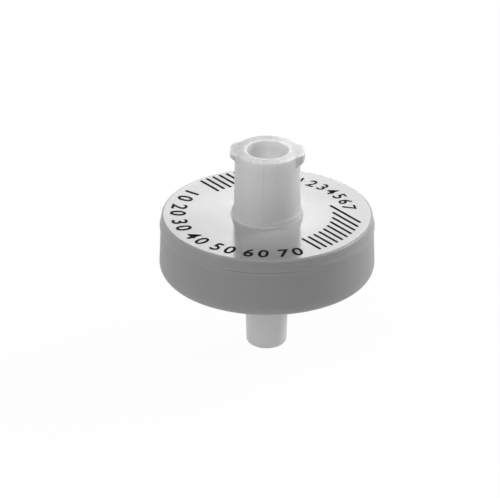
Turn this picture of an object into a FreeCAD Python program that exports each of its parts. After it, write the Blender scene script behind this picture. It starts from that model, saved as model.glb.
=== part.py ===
# Disposable syringe filter: two welded mouldings that clamp a membrane disc between them.
#
# Millimetres, +Z up. The axis of both luer fittings is the Z axis, and the origin is the centre of
# the outlet tip's flat end, on which the filter stands. Liquid enters the tube at the top, spreads
# under the cover plate, passes down through the membrane and leaves by the bore of the tip.

import FreeCAD
import Part
import math
import os

# Luer fittings, both with the standard 6 % taper on the diameter.
LUER_TAPER = 0.06
TIP_END_DIA = 4.02           # male tip, at its end
TIP_LENGTH = 7.85            # male tip, from the body's underside to its end
TIP_EDGE_RADIUS = 0.55
TIP_ROOT_RADIUS = 0.4
OUTLET_BORE_DIA = 2.1
MOUTH_DIA = 4.3              # female socket, at its mouth
MOUTH_FLARE = 0.08           # on the radius
MOUTH_FLARE_DEPTH = 0.06
SOCKET_FLOOR = 1.25          # thickness under the socket, over the filter chamber
INLET_HOLE_DIA = 1.8         # from the socket's floor into the filter chamber

# Inlet tube, the bead round its foot, and the two thread lugs of the luer lock.
TUBE_HEIGHT = 7.2            # above the cover plate
TUBE_TOP_DIA = 6.56
TUBE_DRAFT = 0.57            # degrees, wider towards the foot
TUBE_EDGE_RADIUS = 0.12
BEAD_PROUD = 0.2
BEAD_HEIGHT = 0.85
BEAD_SHOULDER = 0.48         # height at which it starts to round in to the tube
BEAD_UNDERCUT = 0.08
BEAD_EDGE_RADIUS = 0.05
BEAD_TOP_RADIUS = 0.54
BEAD_BLEND_RADIUS = 0.15     # where it runs out into the tube
LUG_PROUD = 0.47             # from the tube's top to the crest
LUG_WIDTH = 3.3              # at the root
LUG_END_ANGLE = 30.0         # the ends' slant from root to crest
LUG_CREST_HEIGHT = 0.76      # at the middle of the lug
LUG_FLANK_ANGLE = 35.0       # the underside's slope from crest to root
LUG_CORNER_RADIUS = 1.0
LUG_TURN = -1.0              # direction of the lugs, in degrees from +X
THREAD_LEAD = 4.0

# Cover plate: a drafted rim that overhangs the lower body by a small lip.
PLATE_THICKNESS = 1.35
LIP_PROUD = 0.1              # past the top of the lower body
RIM_DRAFT = 10.0
RIM_EDGE_RADIUS = 0.18
LIP_EDGE_RADIUS = 0.15

# Lower body, wider towards its rounded bottom edge.
BODY_HEIGHT = 5.0
BODY_TOP_DIA = 21.36
BODY_DRAFT = 1.5
BODY_BOTTOM_RADIUS = 1.2

# Membrane, and the chambers above and below it.
MEMBRANE_DIA = 13.0
MEMBRANE_THICKNESS = 0.15
CLAMP_WIDTH = 0.6            # the membrane's edge held between the mouldings
PLUG_LAND = 1.8              # the cover's plug, past the membrane's edge
PLUG_HEIGHT = 1.1
PLUG_CLEARANCE = 0.08        # on the radius
INLET_CHAMBER_DEPTH = 0.6
OUTLET_CHAMBER_DEPTH = 0.45
FUNNEL_DROP = 0.5            # fall of the outlet chamber's floor from its edge to the bore

# Ribs: concentric rings, cut through by straight channels.
RING_COUNT = 4
RING_WIDTH = 0.45
RIB_ROOT = 0.3               # how far a rib runs into the wall behind it
CHANNEL_COUNT = 8
CHANNEL_WIDTH = 0.6
INLET_RIB_GAP = 0.2          # between the inlet ribs and the membrane

# Heights, from the tip's end upwards.
UNDERSIDE_Z = TIP_LENGTH
PARTING_Z = UNDERSIDE_Z + BODY_HEIGHT
CLAMP_Z = PARTING_Z - PLUG_HEIGHT
SEAT_Z = CLAMP_Z - MEMBRANE_THICKNESS
FACE_Z = PARTING_Z + PLATE_THICKNESS
MOUTH_Z = FACE_Z + TUBE_HEIGHT
CHAMBER_ROOF_Z = CLAMP_Z + INLET_CHAMBER_DEPTH
SOCKET_FLOOR_Z = CHAMBER_ROOF_Z + SOCKET_FLOOR

# Radii that more than one piece or feature shares.
CHAMBER_RADIUS = MEMBRANE_DIA / 2 - CLAMP_WIDTH
PLUG_RADIUS = MEMBRANE_DIA / 2 + PLUG_LAND
BODY_TOP_RADIUS = BODY_TOP_DIA / 2
TUBE_TOP_RADIUS = TUBE_TOP_DIA / 2
LUG_CREST_RADIUS = TUBE_TOP_RADIUS + LUG_PROUD

CENTRE = FreeCAD.Vector(0, 0, 0)
ALONG_X = FreeCAD.Vector(1, 0, 0)
ALONG_Y = FreeCAD.Vector(0, 1, 0)
ALONG_Z = FreeCAD.Vector(0, 0, 1)


def corner_arc(corner, before, after, rounding):
    """Arc that rounds a corner between its two neighbours, limited to half of each side."""
    to_before = before - corner
    to_after = after - corner
    room = min(to_before.Length, to_after.Length) / 2
    half_angle = to_before.getAngle(to_after) / 2
    setback = min(rounding / math.tan(half_angle), room)
    to_before.normalize()
    to_after.normalize()
    inward = (to_before + to_after).normalize()
    radius = setback * math.tan(half_angle)
    middle = corner + inward * (radius / math.sin(half_angle) - radius)
    return Part.Arc(corner + to_before * setback, middle, corner + to_after * setback).toShape()


def turned(section):
    """Solid of revolution round Z.

    The section is a list of corners in order round it, each (radius, height) or, where the corner
    is rounded, (radius, height, rounding).
    """
    points = [FreeCAD.Vector(corner[0], 0, corner[1]) for corner in section]
    edges = []
    starts = []
    ends = []
    for index, corner in enumerate(section):
        starts.append(points[index])
        ends.append(points[index])
        if len(corner) > 2:
            following = points[(index + 1) % len(points)]
            arc = corner_arc(points[index], points[index - 1], following, corner[2])
            starts[index] = arc.firstVertex().Point
            ends[index] = arc.lastVertex().Point
            edges.append(arc)
    for index, end in enumerate(ends):
        edges.append(Part.makeLine(end, starts[(index + 1) % len(starts)]))
    outline = Part.Wire(Part.__sortEdges__(edges))
    return Part.Face(outline).revolve(CENTRE, ALONG_Z, 360)


def ring(inner_radius, width, low_z, high_z):
    """Plain ring of material round the axis."""
    base = FreeCAD.Vector(0, 0, low_z)
    outer = Part.makeCylinder(inner_radius + width, high_z - low_z, base)
    return outer.cut(Part.makeCylinder(inner_radius, high_z - low_z, base))


def flow_ribs(hole_dia, low_z, high_z):
    """Rings spaced evenly between the hole and the chamber's wall, with the channels cut through."""
    free_width = CHAMBER_RADIUS - hole_dia / 2 - RING_COUNT * RING_WIDTH
    gap = free_width / (RING_COUNT + 1)
    rings = []
    channels = []
    for index in range(RING_COUNT):
        inner_radius = hole_dia / 2 + gap + index * (RING_WIDTH + gap)
        rings.append(ring(inner_radius, RING_WIDTH, low_z, high_z))
    for index in range(CHANNEL_COUNT):
        corner = FreeCAD.Vector(0, -CHANNEL_WIDTH / 2, low_z)
        channel = Part.makeBox(CHAMBER_RADIUS, CHANNEL_WIDTH, high_z - low_z, corner)
        channel.rotate(CENTRE, ALONG_Z, index * 360 / CHANNEL_COUNT)
        channels.append(channel)
    return Part.makeCompound(rings).cut(Part.makeCompound(channels))


def thread_lug(turn):
    """One lug of the luer lock, flush with the mouth and running in to the axis.

    Its ends slant out from the tube to the crest. Its underside is part of a cone that falls from
    the crest to the tube, tilted so that it climbs round the tube with the thread.
    """
    height = TUBE_HEIGHT / 2
    low_z = MOUTH_Z - height
    root = LUG_WIDTH / 2
    root_x = math.sqrt(TUBE_TOP_RADIUS ** 2 - root ** 2)
    crest = root - (LUG_CREST_RADIUS - root_x) * math.tan(math.radians(LUG_END_ANGLE))
    corners = [
        FreeCAD.Vector(0, -root, low_z),
        FreeCAD.Vector(root_x, -root, low_z),
        FreeCAD.Vector(LUG_CREST_RADIUS, -crest, low_z),
        FreeCAD.Vector(LUG_CREST_RADIUS, crest, low_z),
        FreeCAD.Vector(root_x, root, low_z),
        FreeCAD.Vector(0, root, low_z),
    ]
    plan = Part.Face(Part.makePolygon(corners + corners[:1]))
    base = FreeCAD.Vector(0, 0, low_z)
    lug = plan.extrude(ALONG_Z * height).common(Part.makeCylinder(LUG_CREST_RADIUS, height, base))
    crest_corners = []
    for edge in lug.Edges:
        upright = edge.BoundBox.ZLength > height / 2
        from_axis = math.hypot(edge.BoundBox.Center.x, edge.BoundBox.Center.y)
        if upright and from_axis > (TUBE_TOP_RADIUS + LUG_CREST_RADIUS) / 2:
            crest_corners.append(edge)
    lug = lug.makeFillet(LUG_CORNER_RADIUS, crest_corners)
    slope = math.tan(math.radians(LUG_FLANK_ANGLE))
    reach = 2 * LUG_CREST_RADIUS
    flange = turned([
        (0, -LUG_CREST_RADIUS * slope),
        (reach, (reach - LUG_CREST_RADIUS) * slope),
        (reach, TUBE_HEIGHT),
        (0, TUBE_HEIGHT),
    ])
    climb = math.degrees(math.atan(THREAD_LEAD / (2 * math.pi * LUG_CREST_RADIUS)))
    flange.rotate(CENTRE, ALONG_X, climb)
    flange.translate(ALONG_Z * (MOUTH_Z - LUG_CREST_HEIGHT))
    lug = lug.common(flange)
    lug.rotate(CENTRE, ALONG_Z, turn)
    return lug


def inlet_housing():
    """Tube, lugs, bead, cover plate and the plug that clamps the membrane: one moulding."""
    lip = BODY_TOP_RADIUS + LIP_PROUD
    rim_top = lip - PLATE_THICKNESS * math.tan(math.radians(RIM_DRAFT))
    foot = TUBE_TOP_RADIUS + TUBE_HEIGHT * math.tan(math.radians(TUBE_DRAFT))
    bead = foot + BEAD_PROUD
    outside = turned([
        (0, CLAMP_Z),
        (PLUG_RADIUS, CLAMP_Z),
        (PLUG_RADIUS, PARTING_Z),
        (BODY_TOP_RADIUS, PARTING_Z),
        (lip, PARTING_Z + LIP_PROUD, LIP_EDGE_RADIUS),
        (rim_top, FACE_Z, RIM_EDGE_RADIUS),
        (bead - BEAD_UNDERCUT, FACE_Z),
        (bead, FACE_Z + BEAD_UNDERCUT, BEAD_EDGE_RADIUS),
        (bead, FACE_Z + BEAD_SHOULDER, BEAD_TOP_RADIUS),
        (foot, FACE_Z + BEAD_HEIGHT, BEAD_BLEND_RADIUS),
        (TUBE_TOP_RADIUS, MOUTH_Z, TUBE_EDGE_RADIUS),
        (0, MOUTH_Z),
    ])
    mouth = MOUTH_DIA / 2
    flare_end = mouth - LUER_TAPER / 2 * MOUTH_FLARE_DEPTH
    socket_end = mouth - LUER_TAPER / 2 * (MOUTH_Z - SOCKET_FLOOR_Z)
    hole = INLET_HOLE_DIA / 2
    waterway = turned([
        (0, MOUTH_Z + MOUTH_FLARE_DEPTH),
        (mouth + MOUTH_FLARE, MOUTH_Z + MOUTH_FLARE_DEPTH),
        (mouth + MOUTH_FLARE, MOUTH_Z),
        (flare_end, MOUTH_Z - MOUTH_FLARE_DEPTH),
        (socket_end, SOCKET_FLOOR_Z),
        (hole, SOCKET_FLOOR_Z),
        (hole, CHAMBER_ROOF_Z),
        (CHAMBER_RADIUS, CHAMBER_ROOF_Z),
        (CHAMBER_RADIUS, SEAT_Z),
        (0, SEAT_Z),
    ])
    lugs = [thread_lug(LUG_TURN), thread_lug(LUG_TURN + 180)]
    ribs = flow_ribs(INLET_HOLE_DIA, CLAMP_Z + INLET_RIB_GAP, CHAMBER_ROOF_Z + RIB_ROOT)
    return outside.fuse(lugs).cut(waterway).fuse(ribs)


def outlet_housing():
    """Lower body, membrane seat, outlet bore and male luer tip: one moulding."""
    bore = OUTLET_BORE_DIA / 2
    tip_root = (TIP_END_DIA + LUER_TAPER * TIP_LENGTH) / 2
    body_foot = BODY_TOP_RADIUS + BODY_HEIGHT * math.tan(math.radians(BODY_DRAFT))
    recess = PLUG_RADIUS + PLUG_CLEARANCE
    funnel_edge_z = SEAT_Z - OUTLET_CHAMBER_DEPTH
    funnel_end_z = funnel_edge_z - FUNNEL_DROP
    moulding = turned([
        (bore, 0),
        (TIP_END_DIA / 2, 0, TIP_EDGE_RADIUS),
        (tip_root, UNDERSIDE_Z, TIP_ROOT_RADIUS),
        (body_foot, UNDERSIDE_Z, BODY_BOTTOM_RADIUS),
        (BODY_TOP_RADIUS, PARTING_Z),
        (recess, PARTING_Z),
        (recess, SEAT_Z),
        (CHAMBER_RADIUS, SEAT_Z),
        (CHAMBER_RADIUS, funnel_edge_z),
        (bore, funnel_end_z),
    ])
    return moulding.fuse(flow_ribs(OUTLET_BORE_DIA, funnel_end_z - RIB_ROOT, SEAT_Z))


def membrane():
    """The filter disc, lying on the seat and ribs with its edge clamped."""
    return Part.makeCylinder(MEMBRANE_DIA / 2, MEMBRANE_THICKNESS, FreeCAD.Vector(0, 0, SEAT_Z))


PIECES = {
    "inlet_housing": inlet_housing,
    "membrane": membrane,
    "outlet_housing": outlet_housing,
}

os.makedirs("parts", exist_ok=True)
for name, make in PIECES.items():
    piece = make().removeSplitter()
    piece.exportStep("parts/" + name + ".step")
    print(name, len(piece.Solids), "solid,", round(piece.Volume, 1), "mm3, valid:", piece.isValid())
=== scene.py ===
import math

import bpy
from mathutils import Matrix, Vector


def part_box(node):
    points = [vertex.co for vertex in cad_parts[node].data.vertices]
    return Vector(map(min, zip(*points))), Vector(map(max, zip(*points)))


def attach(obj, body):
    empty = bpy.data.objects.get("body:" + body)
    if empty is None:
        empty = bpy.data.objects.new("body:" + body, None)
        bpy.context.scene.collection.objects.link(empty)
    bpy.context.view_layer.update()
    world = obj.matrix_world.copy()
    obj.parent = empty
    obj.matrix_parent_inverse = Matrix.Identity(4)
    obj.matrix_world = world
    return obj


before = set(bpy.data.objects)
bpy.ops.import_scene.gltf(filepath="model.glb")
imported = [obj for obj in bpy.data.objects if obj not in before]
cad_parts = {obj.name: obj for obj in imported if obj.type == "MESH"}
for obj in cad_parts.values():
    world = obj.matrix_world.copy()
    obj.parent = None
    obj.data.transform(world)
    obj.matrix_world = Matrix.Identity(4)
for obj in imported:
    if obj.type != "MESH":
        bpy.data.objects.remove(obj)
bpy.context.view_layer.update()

# ---------------------------------------------------------------- outlet housing
# The lower half of the filter: a shallow round cup with the male luer tip under it.
# Injection moulded in natural polypropylene, a milky plastic that lets some light through,
# and welded to the cover at the parting line round its rim.
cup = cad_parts["outlet_housing"]
PARTING_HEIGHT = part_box("outlet_housing")[1].z

# Heights, radii and sideways distances over which one grey turns into the next.
# Painted light: the top of the body, just under the cover's lip where the lip's shade falls, is
# painted paler.
UNDER_LIP_HEIGHT = (PARTING_HEIGHT - 0.0004, PARTING_HEIGHT - 0.0001)
BODY_RADII = (0.0023, 0.0042)
TIP_END_HEIGHT = (0.0002, 0.0009)
TIP_RIGHT = (0.0006, 0.0020)

# Greys, and how much paler or darker parts of them are.
# The cup's greys are painted: the tip paler than the body, as painted light lifting the shade
# under the cup and standing in for light through its thin wall, and the body darker than the
# cover's face, as painted shade on the cup's side.
TIP_GREY = 0.57
# Painted shade darkens the tip's right side, which the right-hand lamp lights most.
TIP_SHADED_RIGHT_GREY = 0.50
BODY_GREY = 0.245
UNDER_LIP_PAINTED_LIGHT = 0.025
SCUFFS_DARKER = 0.12
SCUFFED = (0.50, 0.70)
TIP_ROUGHNESS = 0.50
BODY_ROUGHNESS = 0.45
CUP_SHINE = 0.12


class Sum:
    """A node's output. Python's operators on it add Math nodes."""

    def __init__(self, finish, socket):
        self.finish = finish
        self.socket = socket

    def __add__(self, other):
        return self.finish.math("ADD", self, other)

    def __sub__(self, other):
        return self.finish.math("SUBTRACT", self, other)

    def __rsub__(self, other):
        return self.finish.math("SUBTRACT", other, self)

    def __mul__(self, other):
        return self.finish.math("MULTIPLY", self, other)

    def __abs__(self):
        return self.finish.math("ABSOLUTE", self)

    __radd__ = __add__
    __rmul__ = __mul__

    def root(self):
        return self.finish.math("SQRT", self)

    def or_more(self, other):
        return self.finish.math("MAXIMUM", self, other)

    def blend(self, low, high):
        """The value low where this is 0, and high where it is 1."""
        return low + (high - low) * self

    def between(self, low, high):
        """0 below low, 1 above high, and smooth from one to the other."""
        return self.finish.node(
            "ShaderNodeMapRange",
            {"interpolation_type": "SMOOTHSTEP"},
            {"Value": self, "From Min": low, "From Max": high},
        )


class Finish:
    """The nodes of one material, or of the world, added one at a time."""

    def __init__(self, owner, output="ShaderNodeOutputMaterial"):
        self.owner = owner
        owner.use_nodes = True
        owner.node_tree.nodes.clear()
        self.output = owner.node_tree.nodes.new(output)

    def node(self, kind, settings=None, sockets=None, output=0):
        tree = self.owner.node_tree
        made = tree.nodes.new(kind)
        for key, value in (settings or {}).items():
            setattr(made, key, value)
        for key, value in (sockets or {}).items():
            if isinstance(value, Sum):
                tree.links.new(value.socket, made.inputs[key])
            else:
                made.inputs[key].default_value = value
        return Sum(self, made.outputs[output])

    def math(self, operation, *values):
        return self.node("ShaderNodeMath", {"operation": operation}, dict(enumerate(values)))

    def mix(self, factor, a, b):
        """Colour a where factor is 0 and b where it is 1. 6, 7 and 2 are the colours' sockets."""
        return self.node("ShaderNodeMix", {"data_type": "RGBA"}, {0: factor, 6: a, 7: b}, 2)

    def noise(self, coords, scale, detail, roughness=0.5):
        return self.node(
            "ShaderNodeTexNoise",
            {},
            {"Vector": coords, "Scale": scale, "Detail": detail, "Roughness": roughness},
        )

    def coordinates(self):
        """A point's place on the object, in metres."""
        return self.node("ShaderNodeTexCoord", output="Object")

    def axes(self, coords):
        """A point's x, y and z one by one, and its distance from the filter's axis."""
        split = self.node("ShaderNodeSeparateXYZ", {}, {"Vector": coords}).socket.node
        x, y, z = (Sum(self, split.outputs[axis]) for axis in "XYZ")
        return x, y, z, (x * x + y * y).root()

    def surface(self, shader):
        self.owner.node_tree.links.new(shader.socket, self.output.inputs["Surface"])


def grey(level):
    return (level, level, level, 1.0)


def moulded(name, look, shine):
    """Natural polypropylene: milky, faintly clouded, with the fine bloom a mould leaves.

    look gives the plastic's grey, with light and shade painted into it, its roughness and the
    height of any fine line in the mould.
    shine is 0.5 for a polished mould and less for a dull one.
    """
    plastic = Finish(bpy.data.materials.new(name))
    coords = plastic.coordinates()
    x, y, z, radius = plastic.axes(coords)
    cloud = plastic.noise(coords, scale=420.0, detail=3.0, roughness=0.55)
    bloom = plastic.noise(coords, scale=5200.0, detail=2.0)
    scuffs = plastic.noise(coords, scale=2600.0, detail=3.0, roughness=0.6)
    level, roughness, line = look(x, y, z, radius, scuffs)
    clouded = level * (0.93 + cloud * 0.08 + scuffs * 0.06)
    plastic.surface(
        plastic.node(
            "ShaderNodeBsdfPrincipled",
            {},
            {
                "Base Color": plastic.mix(clouded, grey(0.0), grey(1.0)),
                "Roughness": roughness + cloud * 0.06,
                "Normal": plastic.node(
                    "ShaderNodeBump",
                    {},
                    {"Strength": 0.10, "Distance": 0.00004, "Height": bloom + line},
                ),
                "IOR": 1.49,
                "Specular IOR Level": shine,
                "Subsurface Weight": 0.9,
                "Subsurface Scale": 0.0012,
                "Subsurface Radius": (1.0, 1.0, 1.0),
            },
        )
    )
    return plastic.owner


def cup_look(x, y, z, radius, scuffs):
    """Grey over the hollow body, with painted light just under the cover's lip and on the tip, and
    painted shade on the tip's right side.

    The tip's end is scuffed in places.
    """
    body = radius.between(*BODY_RADII)
    # Painted light just under the cover's lip, lifting the lip's shade.
    under_lip_light = body * z.between(*UNDER_LIP_HEIGHT)
    end = 1.0 - z.between(*TIP_END_HEIGHT)
    # The tip's grey carries painted light, with painted shade on its right side.
    tip_level = x.between(*TIP_RIGHT).blend(TIP_GREY, TIP_SHADED_RIGHT_GREY)
    level = body.blend(tip_level, BODY_GREY) + under_lip_light * UNDER_LIP_PAINTED_LIGHT
    level = level - end * scuffs.between(*SCUFFED) * SCUFFS_DARKER
    return level, body.blend(TIP_ROUGHNESS, BODY_ROUGHNESS), 0.0


cup.data.materials.clear()
cup.data.materials.append(moulded("polypropylene_cup", cup_look, CUP_SHINE))

# ---------------------------------------------------------------- membrane
# A thin white disc of filter film, laid on the cup's seat and clamped round its edge
# when the two housings are welded.
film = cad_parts["membrane"]
PORE_GREY = 0.86
FILM_GREY = 0.93
felt = Finish(bpy.data.materials.new("filter_film"))
coords = felt.coordinates()
pores = felt.noise(coords, scale=3000.0, detail=4.0)
felt.surface(
    felt.node(
        "ShaderNodeBsdfPrincipled",
        {},
        {
            "Base Color": felt.mix(pores, grey(PORE_GREY), grey(FILM_GREY)),
            "Roughness": 0.9,
            "Normal": felt.node(
                "ShaderNodeBump", {}, {"Strength": 0.3, "Distance": 0.00002, "Height": pores}
            ),
        },
    )
)
film.data.materials.clear()
film.data.materials.append(felt.owner)

# ---------------------------------------------------------------- inlet housing
# The upper half: a round cover with the female luer socket standing on it, in the same
# polypropylene. Its mould was polished, so the cover's face shines like a still surface.
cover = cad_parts["inlet_housing"]
TUBE_HEIGHT = 0.0072
MOUTH_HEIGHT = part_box("inlet_housing")[1].z
FACE_HEIGHT = MOUTH_HEIGHT - TUBE_HEIGHT
SEAM_ANGLE = math.radians(-97.0)
SEAM_HALF_WIDTH = (0.00002, 0.00009)

# Radii at which one finish turns into the next.
FOOT_RADII = (0.00345, 0.00375)
LUG_RADII = (0.0034, 0.0036)
SOCKET_RADII = (0.0022, 0.0023)
FLARE_RADII = (0.0024, 0.0025)
# Radii of the painted light near the tube's foot and of the painted shade out towards the rim.
FOOT_LIGHT_RADII = (0.0035, 0.0060)
OUTER_FACE_RADII = (0.0045, 0.0095)
RIM_RADII = (0.0103, 0.0106)

# Heights above the face, and depths below the mouth.
SOCKET_FLOOR = (-0.0009, -0.0006)
FACE_TOP = (0.0001, 0.0002)
CREVICE_HEIGHT = (0.0, 0.0005)
BEAD_HEIGHT = (0.0007, 0.0009)
MOUTH_EDGE = (0.0001, 0.0002)
SOCKET_DEPTH = (0.0, 0.0030)

# Distances from the middle, sideways.
TUBE_SIDES = (0.0018, 0.0032)
MOUTH_RIGHT = (0.0, 0.0028)

# Greys, and how much paler or darker parts of them are.
# The tube's grey is painted paler than the face's, as painted light standing in for light through
# the tube's thin wall.
TUBE_GREY = 0.52
# Painted light up the front of the tube towards its top, and painted shade up its sides.
TUBE_TOP_PAINTED_LIGHT = 0.02
TUBE_TOP_SIDES_PAINTED_SHADE = 0.06
SEAM_DARKER = 0.05
# A painted highlight round the inside edge of the mouth.
FLARE_PAINTED_HIGHLIGHT = 0.05
# The mouth's ring is painted a little darker overall, as painted shade, and paler to the right, as
# painted light from the right-hand lamp.
MOUTH_PAINTED_SHADE = 0.02
MOUTH_RIGHT_PAINTED_LIGHT = 0.16
MOUTH_SCUFFS = 0.30
# Painted light in the crevice at the tube's foot, lifting the shade there.
CREVICE_PAINTED_LIGHT = 0.26
# Painted shade over the bead round the tube's foot, holding down the light on its upper slope.
BEAD_PAINTED_SHADE = 0.075
# Painted shade on the lugs' sides.
LUG_PAINTED_SHADE = 0.10
# Painted light inside the socket, more of it deeper down, standing in for light through the walls,
# and painted shade towards the socket's sides.
SOCKET_PAINTED_LIGHT = 0.18
DEEP_SOCKET_PAINTED_LIGHT = 0.30
SOCKET_SIDES_PAINTED_SHADE_PER_METRE = 46.0
FACE_GREY = 0.41
# The face is painted paler near the tube's foot, as painted light lifting the tube's shade there,
# and darker out towards the rim and on the rim, as painted shade.
FOOT_PAINTED_LIGHT = 0.06
OUTER_FACE_PAINTED_SHADE = 0.09
# A painted sheen: the face is painted paler towards the back, where the lamp behind the filter
# shines on it.
FACE_PAINTED_SHEEN_PER_METRE_BACK = 3.0
RIM_PAINTED_SHADE = 0.005
SEAM_FOOT_SHARE = 0.25
SEAM_RIDGE = 2.0
FACE_ROUGHNESS = 0.11
TUBE_ROUGHNESS = 0.50
RIM_ROUGHNESS = 0.46
COVER_SHINE = 0.5


def cover_look(x, y, z, radius, scuffs):
    """Painted light makes the face palest near the tube's foot and the socket palest inside, and
    painted shade greys the face out to the rim and the lugs' sides.

    The face is polished. The tube is satin, with the mould's parting line down two sides,
    fainter towards the foot.
    """
    above_face = z - FACE_HEIGHT
    below_mouth = MOUTH_HEIGHT - z
    inner = 1.0 - radius.between(*FOOT_RADII)
    tube = inner.or_more(above_face.between(*FACE_TOP))
    hollow = above_face.between(*SOCKET_FLOOR)
    mouth = 1.0 - below_mouth.between(*MOUTH_EDGE)
    up_tube = above_face.between(0.0, TUBE_HEIGHT)
    socket = (1.0 - radius.between(*SOCKET_RADII)) * hollow
    depth = below_mouth.between(*SOCKET_DEPTH)
    flare_highlight = (1.0 - radius.between(*FLARE_RADII)) * mouth
    crevice = 1.0 - above_face.between(*CREVICE_HEIGHT)
    bead = 1.0 - above_face.between(*BEAD_HEIGHT)
    lug = radius.between(*LUG_RADII) * (1.0 - bead) * (1.0 - mouth)
    off_seam = abs(x * math.sin(SEAM_ANGLE) - y * math.cos(SEAM_ANGLE))
    seam = (1.0 - off_seam.between(*SEAM_HALF_WIDTH)) * hollow * tube * (1.0 - socket)
    seam = seam * up_tube.blend(SEAM_FOOT_SHARE, 1.0)
    rim = radius.between(*RIM_RADII)

    tube_sides = abs(x).between(*TUBE_SIDES)
    tube_level = (
        TUBE_GREY
        # painted light up the tube's front, painted shade up its sides
        + up_tube * (TUBE_TOP_PAINTED_LIGHT - tube_sides * TUBE_TOP_SIDES_PAINTED_SHADE)
        - seam * SEAM_DARKER
        # painted highlight round the mouth's inside edge
        + flare_highlight * FLARE_PAINTED_HIGHLIGHT
        # painted shade on the mouth's ring, and painted light on its right side
        + mouth * (x.between(*MOUTH_RIGHT) * MOUTH_RIGHT_PAINTED_LIGHT - MOUTH_PAINTED_SHADE)
        + mouth * (scuffs - 0.5) * MOUTH_SCUFFS
        # painted light in the crevice at the foot
        + crevice * CREVICE_PAINTED_LIGHT
        # painted shade over the bead
        - bead * BEAD_PAINTED_SHADE
        # painted shade on the lugs' sides
        - lug * LUG_PAINTED_SHADE
        # painted light inside the socket, and painted shade towards its sides
        + socket * (SOCKET_PAINTED_LIGHT + depth * DEEP_SOCKET_PAINTED_LIGHT)
        - socket * abs(x) * SOCKET_SIDES_PAINTED_SHADE_PER_METRE
    )
    face_level = (
        FACE_GREY
        # painted light near the foot, painted shade out to the rim
        - radius.between(*FOOT_LIGHT_RADII) * FOOT_PAINTED_LIGHT
        - radius.between(*OUTER_FACE_RADII) * OUTER_FACE_PAINTED_SHADE
        # painted sheen towards the back
        + y * FACE_PAINTED_SHEEN_PER_METRE_BACK
        - rim * RIM_PAINTED_SHADE
    )
    level = tube.blend(face_level, tube_level)
    roughness = tube.blend(FACE_ROUGHNESS, TUBE_ROUGHNESS) + rim * (RIM_ROUGHNESS - FACE_ROUGHNESS)
    return level, roughness, seam * SEAM_RIDGE


cover.data.materials.clear()
cover.data.materials.append(moulded("polypropylene_cover", cover_look, COVER_SHINE))

# ---------------------------------------------------------------- printing
# Black marks pad-printed on the cover's face: two blocks of slanting lines and two arcs
# of plain numbers. The ink stands less than 0.02 mm above the plastic, and the pad set
# the blocks of lines down slightly off the middle.
INK_THICKNESS = 0.000016
INK_GREY = 0.004
WORN_INK_GREY = 0.018
WORN_GRAIN = (0.45, 0.75)
INK_SHINE = 0.03

# The lines cross the band between two radii. The first is the furthest from the centre.
LINES_CENTRE = Vector((-0.00025, 0.00023, FACE_HEIGHT))
LINES_INNER_RADIUS = 0.00680
LINES_OUTER_RADIUS = 0.00978
LINE_ANGLE = math.radians(-52.0)
LINE_COUNT = 10
LINE_FIRST = 0.00628
LINE_PITCH = 0.000762
LINE_WIDTH = 0.00027
LINE_CORNER = LINE_WIDTH * 0.3
BLANK_LENGTH = 0.0030

# The numbers' places are angles round the face in degrees.
NUMBERS_CENTRE = Vector((0.0, 0.0, FACE_HEIGHT))
NUMBER_COUNT = 7
FRONT_RADIUS = 0.00892
FRONT_FIRST_ANGLE = 152.2
FRONT_NUMBER_PITCH = 22.1
FRONT_DIGIT_PITCH = 9.4
FRONT_DIGIT_HEIGHT = 0.00155
FRONT_DIGIT_WEIGHT = 0.000035
REAR_RADIUS = 0.00835
REAR_FIRST_ANGLE = 66.5
REAR_DIGIT_PITCH = 9.15
REAR_DIGIT_HEIGHT = 0.00135
REAR_DIGIT_WEIGHT = 0.00002
DIGIT_SHARE_OF_FONT_SIZE = 0.70
DIGIT_SLANT = 0.04

ink = Finish(bpy.data.materials.new("black_ink"))
coords = ink.coordinates()
grain = ink.noise(coords, scale=9000.0, detail=3.0)
ink.surface(
    ink.node(
        "ShaderNodeBsdfPrincipled",
        {},
        {
            "Base Color": ink.mix(grain.between(*WORN_GRAIN), grey(INK_GREY), grey(WORN_INK_GREY)),
            "Roughness": 0.55 + grain * 0.2,
            "Specular IOR Level": INK_SHINE,
        },
    )
)


def alone(piece):
    """Selects one object and nothing else."""
    bpy.ops.object.select_all(action="DESELECT")
    piece.select_set(True)
    bpy.context.view_layer.objects.active = piece


def line_blank():
    """A short bar of ink lying along X, with its four corners rounded."""
    bpy.ops.object.select_all(action="DESELECT")
    bpy.ops.mesh.primitive_cube_add(size=1.0)
    blank = bpy.context.object
    blank.scale = (BLANK_LENGTH, LINE_WIDTH, INK_THICKNESS)
    bpy.ops.object.transform_apply(scale=True)
    bpy.ops.object.mode_set(mode="EDIT")
    bpy.ops.mesh.select_mode(type="EDGE")
    bpy.ops.mesh.select_all(action="DESELECT")
    bpy.ops.object.mode_set(mode="OBJECT")
    for edge in blank.data.edges:
        low, high = (blank.data.vertices[i].co.z for i in edge.vertices)
        edge.select = abs(high - low) > INK_THICKNESS / 2
    bpy.ops.object.mode_set(mode="EDIT")
    bpy.ops.mesh.bevel(offset=LINE_CORNER, segments=3, affect="EDGES")
    bpy.ops.mesh.select_mode(type="VERT")
    bpy.ops.mesh.select_all(action="DESELECT")
    bpy.ops.object.mode_set(mode="OBJECT")
    return blank


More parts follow.
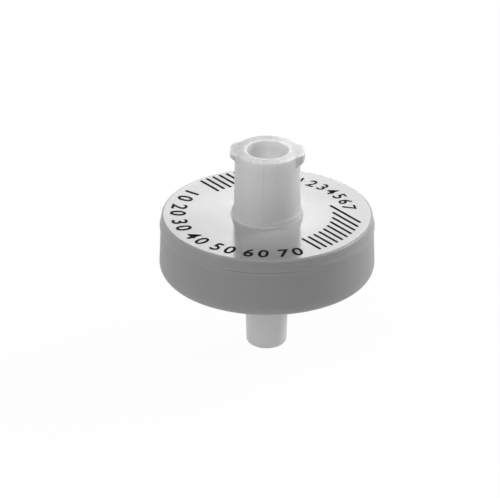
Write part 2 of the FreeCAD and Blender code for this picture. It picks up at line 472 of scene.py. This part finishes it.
def digit_blank(digit, height, weight):
    """One digit of ink lying flat, its middle at the origin and its top towards +Y.

    weight is how far its outline is pushed out.
    """
    bpy.ops.object.select_all(action="DESELECT")
    bpy.ops.object.text_add()
    blank = bpy.context.object
    blank.data.body = digit
    blank.data.align_x = "CENTER"
    blank.data.size = height / DIGIT_SHARE_OF_FONT_SIZE
    blank.data.shear = DIGIT_SLANT
    blank.data.offset = weight
    blank.data.extrude = INK_THICKNESS / 2
    blank.data.resolution_u = 6
    bpy.ops.object.convert(target="MESH")
    blank = bpy.context.object
    bpy.ops.object.mode_set(mode="EDIT")
    bpy.ops.mesh.select_all(action="SELECT")
    bpy.ops.mesh.remove_doubles(threshold=INK_THICKNESS / 16)
    bpy.ops.mesh.normals_make_consistent(inside=False)
    bpy.ops.object.mode_set(mode="OBJECT")
    heights = [v.co.y for v in blank.data.vertices]
    blank.location.y = -(min(heights) + max(heights)) / 2
    bpy.ops.object.transform_apply(location=True, rotation=False, scale=False)
    return blank


def copied(blank):
    """A copy of a blank, with a mesh of its own."""
    alone(blank)
    bpy.ops.object.duplicate()
    return bpy.context.object


def settled(mark, place, turn):
    """Puts a mark on the face, turned about Z, and leaves that in its mesh."""
    mark.location = place + Vector((0.0, 0.0, INK_THICKNESS / 2))
    mark.rotation_euler = (0.0, 0.0, turn)
    alone(mark)
    bpy.ops.object.transform_apply(location=True, rotation=True, scale=True)
    return mark


def printed_line(blank, offset, side):
    """One line of a block: it crosses the band between the two radii, offset from the centre."""
    near = math.sqrt(LINES_INNER_RADIUS**2 - offset**2)
    far = math.sqrt(LINES_OUTER_RADIUS**2 - offset**2)
    mark = copied(blank)
    for end in (-1, 1):
        for v in mark.data.vertices:
            v.select = v.co.x * end > 0
        bpy.ops.object.mode_set(mode="EDIT")
        bpy.ops.transform.translate(value=(end * (far - near - BLANK_LENGTH) / 2, 0.0, 0.0))
        bpy.ops.mesh.select_all(action="DESELECT")
        bpy.ops.object.mode_set(mode="OBJECT")
    along = Vector((math.cos(LINE_ANGLE), math.sin(LINE_ANGLE), 0.0))
    across = Vector((-along.y, along.x, 0.0))
    middle = along * (side * (near + far) / 2) + across * offset
    return settled(mark, LINES_CENTRE + middle, LINE_ANGLE)


def printed_digit(blank, angle, radius, outward):
    """One digit on an arc, with its top away from the centre or towards it."""
    spoke = math.radians(angle)
    middle = Vector((math.cos(spoke), math.sin(spoke), 0.0)) * radius
    turn = spoke - math.pi / 2 if outward else spoke + math.pi / 2
    return settled(copied(blank), NUMBERS_CENTRE + middle, turn)


def printed(marks, blanks, name):
    """Joins marks into one piece of ink that the cover carries, and clears the blanks away."""
    bpy.ops.object.select_all(action="DESELECT")
    for mark in marks:
        mark.select_set(True)
    bpy.context.view_layer.objects.active = marks[0]
    bpy.ops.object.join()
    piece = bpy.context.object
    piece.name = name
    piece.data.name = name
    bpy.context.scene.cursor.location = (0.0, 0.0, 0.0)
    bpy.ops.object.origin_set(type="ORIGIN_CURSOR")
    piece.data.materials.clear()
    piece.data.materials.append(ink.owner)
    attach(piece, "root")
    for blank in blanks:
        alone(blank)
        bpy.ops.object.delete()


for name, side in (("printed_lines_right", 1), ("printed_lines_left", -1)):
    blank = line_blank()
    marks = [printed_line(blank, LINE_FIRST - LINE_PITCH * i, side) for i in range(LINE_COUNT)]
    printed(marks, [blank], name)

blanks = {
    digit: digit_blank(digit, FRONT_DIGIT_HEIGHT, FRONT_DIGIT_WEIGHT) for digit in "01234567"
}
marks = []
for i in range(NUMBER_COUNT):
    angle = FRONT_FIRST_ANGLE + FRONT_NUMBER_PITCH * i
    for digit, step in ((str(i + 1), -0.5), ("0", 0.5)):
        spoke = angle + FRONT_DIGIT_PITCH * step
        marks.append(printed_digit(blanks[digit], spoke, FRONT_RADIUS, False))
printed(marks, blanks.values(), "printed_numbers_front")

blanks = {digit: digit_blank(digit, REAR_DIGIT_HEIGHT, REAR_DIGIT_WEIGHT) for digit in "1234567"}
marks = [
    printed_digit(blanks[str(i + 1)], REAR_FIRST_ANGLE - REAR_DIGIT_PITCH * i, REAR_RADIUS, True)
    for i in range(NUMBER_COUNT)
]
printed(marks, blanks.values(), "printed_numbers_rear")

# ---------------------------------------------------------------- light, floor, camera
# A matt white table in a white room. Two soft lamps stand in front at the left and behind
# at the right, and a small one behind the filter gives the polished face its sheen.
WHITE = grey(1.0)
FLOOR_RADIUS = 1.2
FLOOR_GREY = 0.9
FLOOR_WHITE_SHARE = 0.95
FILL_STRENGTH = 0.66
AIM_HEIGHT = 0.012


def seen(finish):
    """1 for what the camera sees, directly, as a reflection or through something clear."""
    path = finish.node("ShaderNodeLightPath").socket.node
    direct = Sum(finish, path.outputs["Is Camera Ray"])
    mirrored = Sum(finish, path.outputs["Is Glossy Ray"])
    through = Sum(finish, path.outputs["Is Transmission Ray"])
    return direct.or_more(mirrored).or_more(through)


bpy.ops.object.select_all(action="DESELECT")
bpy.ops.mesh.primitive_circle_add(vertices=96, radius=FLOOR_RADIUS, fill_type="NGON")
floor = bpy.context.object
floor.name = "floor"
paper = Finish(bpy.data.materials.new("pale_floor"))
white = paper.node("ShaderNodeEmission", {}, {"Color": WHITE, "Strength": 1.0})
matt = paper.node("ShaderNodeBsdfDiffuse", {}, {"Color": grey(FLOOR_GREY)})
whitened = seen(paper) * FLOOR_WHITE_SHARE
paper.surface(paper.node("ShaderNodeMixShader", {}, {0: whitened, 1: matt, 2: white}))
floor.data.materials.append(paper.owner)

bpy.context.scene.world = bpy.data.worlds.new("studio")
room = Finish(bpy.context.scene.world, "ShaderNodeOutputWorld")
fill = room.node("ShaderNodeBackground", {}, {"Color": WHITE, "Strength": FILL_STRENGTH})
backdrop = room.node("ShaderNodeBackground", {}, {"Color": WHITE, "Strength": 1.0})
room.surface(room.node("ShaderNodeMixShader", {}, {0: seen(room), 1: fill, 2: backdrop}))


def softbox(name, place, width, height, watts):
    """A soft lamp aimed at the middle of the filter."""
    light = bpy.data.lights.new(name, "AREA")
    light.shape = "RECTANGLE"
    light.size = width
    light.size_y = height
    light.energy = watts
    lamp = bpy.data.objects.new(name, light)
    bpy.context.scene.collection.objects.link(lamp)
    lamp.location = place
    aim = Vector((0.0, 0.0, AIM_HEIGHT)) - Vector(place)
    lamp.rotation_euler = aim.to_track_quat("-Z", "Y").to_euler()


softbox("left", place=(-0.43, -0.33, 0.30), width=0.4, height=0.4, watts=1.18)
softbox("right", place=(0.51, 0.27, 0.28), width=0.3, height=0.3, watts=2.80)
softbox("behind", place=(0.01, 0.60, 0.31), width=0.14, height=0.10, watts=0.185)

# The camera stands a metre away with a long lens, and its view is 50 mm wide. The middle of
# the view is left of the face's centre and below it.
ELEVATION = math.radians(26.35)
ROLL = math.radians(0.3)
DISTANCE = 1.0
VIEW_LEFT = 0.001725
VIEW_BELOW = 0.003490
toward = Vector((0.0, -math.cos(ELEVATION), math.sin(ELEVATION)))
right = Vector((1.0, 0.0, 0.0))
up = toward.cross(right)
right, up = (
    right * math.cos(ROLL) + up * math.sin(ROLL),
    up * math.cos(ROLL) - right * math.sin(ROLL),
)
target = Vector((0.0, 0.0, FACE_HEIGHT)) - right * VIEW_LEFT - up * VIEW_BELOW
lens = bpy.data.cameras.new("camera")
lens.lens = 720.0
lens.sensor_width = 36.0
lens.clip_start = 0.01
lens.clip_end = 10.0
camera = bpy.data.objects.new("camera", lens)
bpy.context.scene.collection.objects.link(camera)
camera.matrix_world = Matrix((right, up, toward)).transposed().to_4x4()
camera.location = target + toward * DISTANCE
bpy.context.scene.camera = camera
bpy.context.scene.view_settings.view_transform = "Standard"
